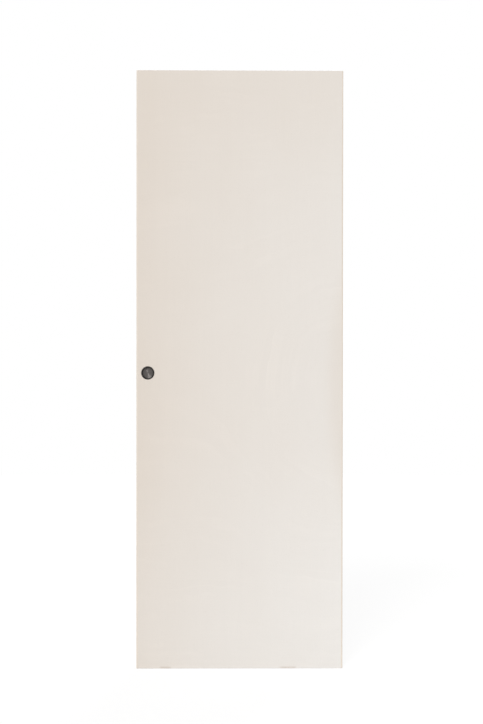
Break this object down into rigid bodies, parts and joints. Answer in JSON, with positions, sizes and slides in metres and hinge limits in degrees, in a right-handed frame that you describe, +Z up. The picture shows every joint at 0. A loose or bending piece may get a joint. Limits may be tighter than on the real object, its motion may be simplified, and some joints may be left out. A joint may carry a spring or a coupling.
{
  "type": "flush hollow core sliding door leaf",
  "caption": "Plain flush door leaf with plywood skins over a wood frame and paper honeycomb, and a round flush finger pull in each face.",
  "frame": {"origin": "centre of the top edge of the leaf, at mid thickness, where it hangs", "axes": "+Z up along the leaf's height, +X to the right seen from the front, and -Y out of the front face"},
  "size_m": [0.73, 0.043, 2.115],
  "materials": {
    "face_veneer": "matte",
    "crossband": "matte",
    "inner_veneer": "matte",
    "lipping": "satin",
    "softwood": "matte",
    "honeycomb_paper": "matte",
    "dark_metal": "satin"
  },
  "bodies": {
    "root": {"front_face_veneer": "face_veneer", "front_crossband_upper": "crossband", "front_crossband_middle": "crossband", "front_crossband_lower": "crossband", "front_inner_veneer": "inner_veneer", "back_face_veneer": "face_veneer", "back_crossband_upper": "crossband", "back_crossband_middle": "crossband", "back_crossband_lower": "crossband", "back_inner_veneer": "inner_veneer", "left_lipping": "lipping", "right_lipping": "lipping", "left_stile_upper": "softwood", "left_stile_middle": "softwood", "left_stile_lower": "softwood", "right_stile": "softwood", "top_rail": "softwood", "bottom_rail": "softwood", "pull_block": "softwood", "upper_core": "honeycomb_paper", "middle_core": "honeycomb_paper", "lower_core": "honeycomb_paper", "front_pull_cup": "dark_metal", "back_pull_cup": "dark_metal"}
  },
  "joints": []
}
